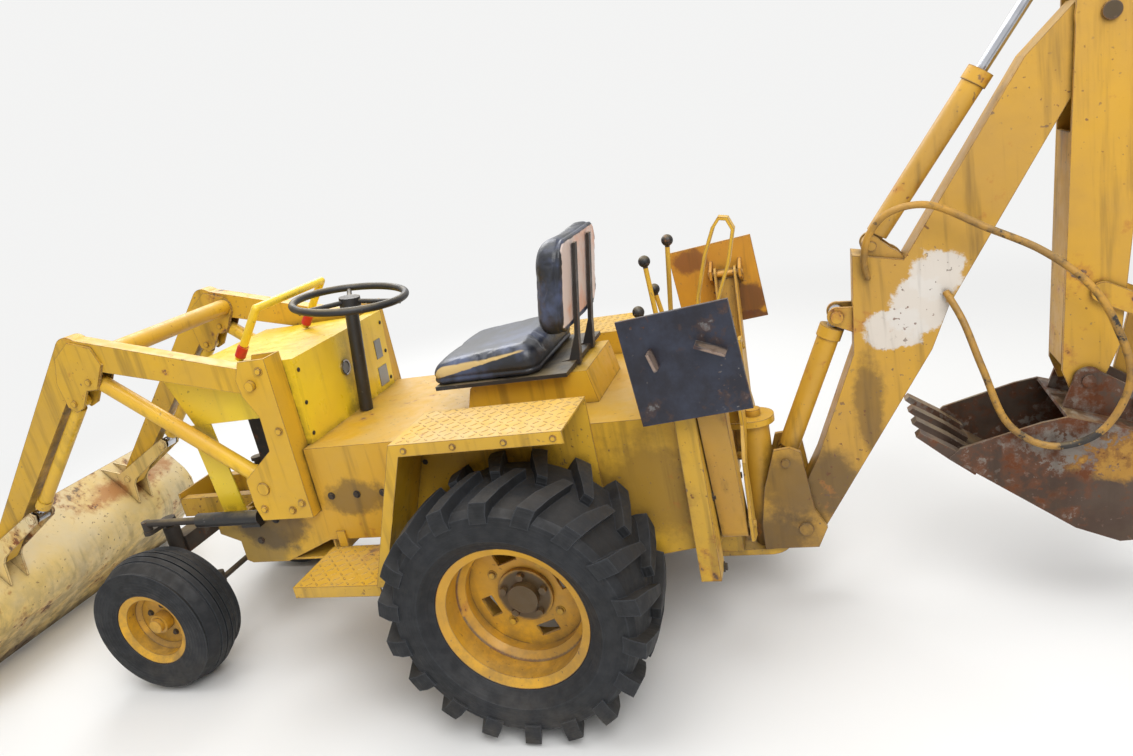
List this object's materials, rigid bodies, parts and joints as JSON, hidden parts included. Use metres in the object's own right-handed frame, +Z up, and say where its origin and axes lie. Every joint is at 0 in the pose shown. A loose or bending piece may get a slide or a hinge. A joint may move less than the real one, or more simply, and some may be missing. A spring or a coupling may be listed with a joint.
{
  "type": "compact backhoe loader",
  "caption": "Compact ride-on backhoe loader parked with its loader bucket dumped on the ground and its swinging boom, dipper and stabilizers folded up behind an open seat.",
  "frame": {"origin": "on the ground plane, at the middle of the parked machine's length and width", "axes": "+X forward towards the loader bucket, +Y towards the operator's left, +Z up"},
  "size_m": [4.083, 1.348, 1.804],
  "materials": {
    "yellow_paint": "weathered satin",
    "tyre": "dusty",
    "chrome_rod": "polished",
    "seat_vinyl": "worn vinyl",
    "black_metal": "satin",
    "black_plastic": "matte",
    "grimy_iron": "oily",
    "worn_steel": "worn",
    "hose_rubber": "matte",
    "strap_webbing": "woven"
  },
  "bodies": {
    "chassis": {"main_frame": "yellow_paint", "rear_axle_housing": "grimy_iron", "front_axle_beam": "grimy_iron", "steering_ram": "black_metal", "engine_block": "grimy_iron", "hood": "yellow_paint", "dash_cowl": "yellow_paint", "hood_hoop": "yellow_paint", "wheel_boxes": "yellow_paint", "loader_towers": "yellow_paint", "steering_column": "black_metal", "seat_pedestal": "yellow_paint", "backhoe_frame": "yellow_paint", "control_levers": "yellow_paint", "grab_loop": "strap_webbing"},
    "rear_wheel_left": {"rear_tyre_left": "tyre", "rear_rim_left": "yellow_paint"},
    "rear_wheel_right": {"rear_tyre_right": "tyre", "rear_rim_right": "yellow_paint"},
    "front_wheel_left": {"front_tyre_left": "tyre", "front_rim_left": "yellow_paint"},
    "front_wheel_right": {"front_tyre_right": "tyre", "front_rim_right": "yellow_paint"},
    "steer_knuckle_left": {"knuckle_left": "grimy_iron"},
    "steer_knuckle_right": {"knuckle_right": "grimy_iron"},
    "tie_bar": {"tie_rod": "grimy_iron"},
    "drag_bar": {"drag_link": "black_metal"},
    "hand_wheel": {"steering_wheel": "black_plastic"},
    "seat": {"seat_pan": "black_metal", "seat_cushion": "seat_vinyl", "seat_back": "seat_vinyl"},
    "loader": {"loader_arms": "yellow_paint"},
    "lift_cylinders": {"lift_barrels": "yellow_paint"},
    "lift_pistons": {"lift_rods": "chrome_rod"},
    "curl_cylinders": {"curl_barrels": "yellow_paint"},
    "curl_pistons": {"curl_rods": "chrome_rod"},
    "front_bucket": {"loader_bucket": "yellow_paint"},
    "swing_frame": {"swing_post": "yellow_paint"},
    "boom_body": {"boom": "yellow_paint", "hoses_boom": "hose_rubber"},
    "boom_cylinder": {"boom_barrel": "black_metal"},
    "boom_piston": {"boom_rod": "chrome_rod"},
    "dipper_body": {"dipper": "yellow_paint"},
    "dipper_cylinder": {"dipper_barrel": "yellow_paint"},
    "dipper_piston": {"dipper_rod": "chrome_rod"},
    "dig_cylinder": {"dig_barrel": "yellow_paint"},
    "dig_piston": {"dig_rod": "chrome_rod"},
    "rocker_arm": {"rocker": "yellow_paint"},
    "link_bar": {"bucket_link": "yellow_paint"},
    "rear_bucket": {"dig_bucket": "worn_steel"},
    "stabilizer_left": {"stabilizer_arm_left": "yellow_paint"},
    "stabilizer_cylinder_left": {"stabilizer_barrel_left": "yellow_paint"},
    "stabilizer_piston_left": {"stabilizer_rod_left": "chrome_rod"},
    "foot_pad_left": {"pad_left": "worn_steel"},
    "stabilizer_right": {"stabilizer_arm_right": "yellow_paint"},
    "stabilizer_cylinder_right": {"stabilizer_barrel_right": "yellow_paint"},
    "stabilizer_piston_right": {"stabilizer_rod_right": "chrome_rod"},
    "foot_pad_right": {"pad_right": "yellow_paint"}
  },
  "joints": [
    {"name": "rear_wheel_left_spin", "type": "hinge", "parent": "chassis", "child": "rear_wheel_left", "pos_m": [-0.314, 0.509, 0.37], "axis": [0, 1, 0], "continuous": true},
    {"name": "rear_wheel_right_spin", "type": "hinge", "parent": "chassis", "child": "rear_wheel_right", "pos_m": [-0.314, -0.509, 0.37], "axis": [0, 1, 0], "continuous": true},
    {"name": "steering_wheel_turn", "type": "hinge", "parent": "chassis", "child": "hand_wheel", "pos_m": [0.288, 0, 1.15], "axis": [-0.1339, 0, 0.991], "range_deg": [-300, 300]},
    {"name": "steer_left", "type": "hinge", "parent": "chassis", "child": "steer_knuckle_left", "pos_m": [1.056, 0.255, 0.38], "axis": [0, 0, 1], "range_deg": [-35, 35]},
    {"name": "front_wheel_left_spin", "type": "hinge", "parent": "steer_knuckle_left", "child": "front_wheel_left", "pos_m": [1.056, 0.395, 0.24], "axis": [0, 1, 0], "continuous": true},
    {"name": "steer_right", "type": "hinge", "parent": "chassis", "child": "steer_knuckle_right", "pos_m": [1.056, -0.255, 0.38], "axis": [0, 0, 1], "range_deg": [-35, 35]},
    {"name": "front_wheel_right_spin", "type": "hinge", "parent": "steer_knuckle_right", "child": "front_wheel_right", "pos_m": [1.056, -0.395, 0.24], "axis": [0, 1, 0], "continuous": true},
    {"name": "tie_bar_pivot", "type": "hinge", "parent": "steer_knuckle_left", "child": "tie_bar", "pos_m": [0.956, 0.221, 0.274], "axis": [0, 0, 1], "range_deg": [-41, 41]},
    {"name": "drag_bar_slide", "type": "slide", "parent": "chassis", "child": "drag_bar", "axis": [1, 0, 0], "range_m": [-0.056, 0.056]},
    {"name": "seat_swivel", "type": "hinge", "parent": "chassis", "child": "seat", "pos_m": [-0.254, 0, 0.874], "axis": [0, 0, 1], "range_deg": [0, 180]},
    {"name": "loader_lift", "type": "hinge", "parent": "chassis", "child": "loader", "pos_m": [0.461, 0, 1], "axis": [0, -1, 0], "range_deg": [0, 60]},
    {"name": "lift_cylinder_pivot", "type": "hinge", "parent": "loader", "child": "lift_cylinders", "pos_m": [1.058, 0, 1.072], "axis": [0, 1, 0], "range_deg": [-2, 20]},
    {"name": "lift_piston_slide", "type": "slide", "parent": "lift_cylinders", "child": "lift_pistons", "axis": [-0.7908, 0, -0.6121], "range_m": [-0.001, 0.26]},
    {"name": "bucket_curl", "type": "hinge", "parent": "loader", "child": "front_bucket", "pos_m": [1.771, 0, 0.475], "axis": [0, -1, 0], "range_deg": [0, 75]},
    {"name": "curl_cylinder_pivot", "type": "hinge", "parent": "loader", "child": "curl_cylinders", "pos_m": [1.146, 0, 1.008], "axis": [0, 1, 0], "range_deg": [-6, 20]},
    {"name": "curl_piston_slide", "type": "slide", "parent": "curl_cylinders", "child": "curl_pistons", "axis": [0.6975, 0, -0.7166], "range_m": [-0.04, 0.28]},
    {"name": "boom_swing", "type": "hinge", "parent": "chassis", "child": "swing_frame", "pos_m": [-0.924, 0, 0.4], "axis": [0, 0, 1], "range_deg": [-70, 70]},
    {"name": "boom_lower", "type": "hinge", "parent": "swing_frame", "child": "boom_body", "pos_m": [-1.039, 0, 0.285], "axis": [0, -1, 0], "range_deg": [0, 85]},
    {"name": "boom_cylinder_pivot", "type": "hinge", "parent": "swing_frame", "child": "boom_cylinder", "pos_m": [-1.004, 0, 0.5], "axis": [0, -1, 0], "range_deg": [-5, 100]},
    {"name": "boom_piston_slide", "type": "slide", "parent": "boom_cylinder", "child": "boom_piston", "axis": [-0.4099, 0, 0.9121], "range_m": [-0.001, 0.29]},
    {"name": "dipper_out", "type": "hinge", "parent": "boom_body", "child": "dipper_body", "pos_m": [-1.829, 0, 1.54], "axis": [0, 1, 0], "range_deg": [0, 95]},
    {"name": "dipper_cylinder_pivot", "type": "hinge", "parent": "boom_body", "child": "dipper_cylinder", "pos_m": [-1.289, 0, 1.085], "axis": [0, 1, 0], "range_deg": [-1, 6]},
    {"name": "dipper_piston_slide", "type": "slide", "parent": "dipper_cylinder", "child": "dipper_piston", "axis": [-0.5987, 0, 0.801], "range_m": [-0.345, 0.001]},
    {"name": "dig_bucket_dump", "type": "hinge", "parent": "dipper_body", "child": "rear_bucket", "pos_m": [-1.769, 0, 0.675], "axis": [0, 1, 0], "range_deg": [0, 100]},
    {"name": "rocker_turn", "type": "hinge", "parent": "dipper_body", "child": "rocker_arm", "pos_m": [-1.804, 0, 0.9], "axis": [0, 1, 0], "range_deg": [-1, 84]},
    {"name": "link_turn", "type": "hinge", "parent": "rocker_arm", "child": "link_bar", "pos_m": [-1.94, 0, 0.822], "axis": [0, 1, 0], "range_deg": [-90, 1]},
    {"name": "dig_cylinder_pivot", "type": "hinge", "parent": "dipper_body", "child": "dig_cylinder", "pos_m": [-1.964, 0, 1.43], "axis": [0, 1, 0], "range_deg": [-6, 6]},
    {"name": "dig_piston_slide", "type": "slide", "parent": "dig_cylinder", "child": "dig_piston", "axis": [0.0394, 0, -0.9992], "range_m": [-0.21, 0.001]},
    {"name": "stabilizer_left_lower", "type": "hinge", "parent": "chassis", "child": "stabilizer_left", "pos_m": [-0.859, 0.235, 0.4], "axis": [-1, 0, 0], "range_deg": [0, 113]},
    {"name": "stabilizer_cylinder_left_pivot", "type": "hinge", "parent": "chassis", "child": "stabilizer_cylinder_left", "pos_m": [-0.859, 0.11, 0.812], "axis": [-1, 0, 0], "range_deg": [-8, 8]},
    {"name": "stabilizer_piston_left_slide", "type": "slide", "parent": "stabilizer_cylinder_left", "child": "stabilizer_piston_left", "axis": [0, 0.501, -0.8654], "range_m": [-0.001, 0.245]},
    {"name": "pad_left_tilt", "type": "hinge", "parent": "stabilizer_left", "child": "foot_pad_left", "pos_m": [-0.859, 0.385, 0.98], "axis": [1, 0, 0], "range_deg": [-10, 60]},
    {"name": "stabilizer_right_lower", "type": "hinge", "parent": "chassis", "child": "stabilizer_right", "pos_m": [-0.859, -0.235, 0.4], "axis": [1, 0, 0], "range_deg": [0, 113]},
    {"name": "stabilizer_cylinder_right_pivot", "type": "hinge", "parent": "chassis", "child": "stabilizer_cylinder_right", "pos_m": [-0.859, -0.11, 0.812], "axis": [1, 0, 0], "range_deg": [-8, 8]},
    {"name": "stabilizer_piston_right_slide", "type": "slide", "parent": "stabilizer_cylinder_right", "child": "stabilizer_piston_right", "axis": [0, -0.501, -0.8654], "range_m": [-0.001, 0.245]},
    {"name": "pad_right_tilt", "type": "hinge", "parent": "stabilizer_right", "child": "foot_pad_right", "pos_m": [-0.859, -0.385, 0.98], "axis": [-1, 0, 0], "range_deg": [-10, 60]}
  ],
  "couplings": [
    {"joint": "steer_left", "follows": "steering_wheel_turn", "ratio": 0.1166},
    {"joint": "steer_right", "follows": "steering_wheel_turn", "ratio": 0.1166},
    {"joint": "tie_bar_pivot", "follows": "steering_wheel_turn", "ratio": -0.13292},
    {"joint": "drag_bar_slide", "follows": "steering_wheel_turn", "m_per_rad": -0.010086},
    {"joint": "lift_cylinder_pivot", "follows": "loader_lift", "ratio": 0.2919},
    {"joint": "lift_piston_slide", "follows": "loader_lift", "m_per_rad": 0.2441},
    {"joint": "curl_cylinder_pivot", "follows": "bucket_curl", "ratio": 0.2287},
    {"joint": "curl_piston_slide", "follows": "bucket_curl", "m_per_rad": 0.2062},
    {"joint": "boom_cylinder_pivot", "follows": "boom_lower", "ratio": 1.075},
    {"joint": "boom_piston_slide", "follows": "boom_lower", "m_per_rad": 0.193},
    {"joint": "dipper_cylinder_pivot", "follows": "dipper_out", "ratio": 0.0467},
    {"joint": "dipper_piston_slide", "follows": "dipper_out", "m_per_rad": -0.2056},
    {"joint": "rocker_turn", "follows": "dig_bucket_dump", "ratio": 0.822},
    {"joint": "link_turn", "follows": "dig_bucket_dump", "ratio": -0.886},
    {"joint": "dig_cylinder_pivot", "follows": "dig_bucket_dump", "ratio": -0.0286},
    {"joint": "dig_piston_slide", "follows": "dig_bucket_dump", "m_per_rad": -0.1166},
    {"joint": "stabilizer_cylinder_left_pivot", "follows": "stabilizer_left_lower", "ratio": 0.0024},
    {"joint": "stabilizer_piston_left_slide", "follows": "stabilizer_left_lower", "m_per_rad": 0.1198},
    {"joint": "stabilizer_cylinder_right_pivot", "follows": "stabilizer_right_lower", "ratio": 0.0024},
    {"joint": "stabilizer_piston_right_slide", "follows": "stabilizer_right_lower", "m_per_rad": 0.1198}
  ]
}
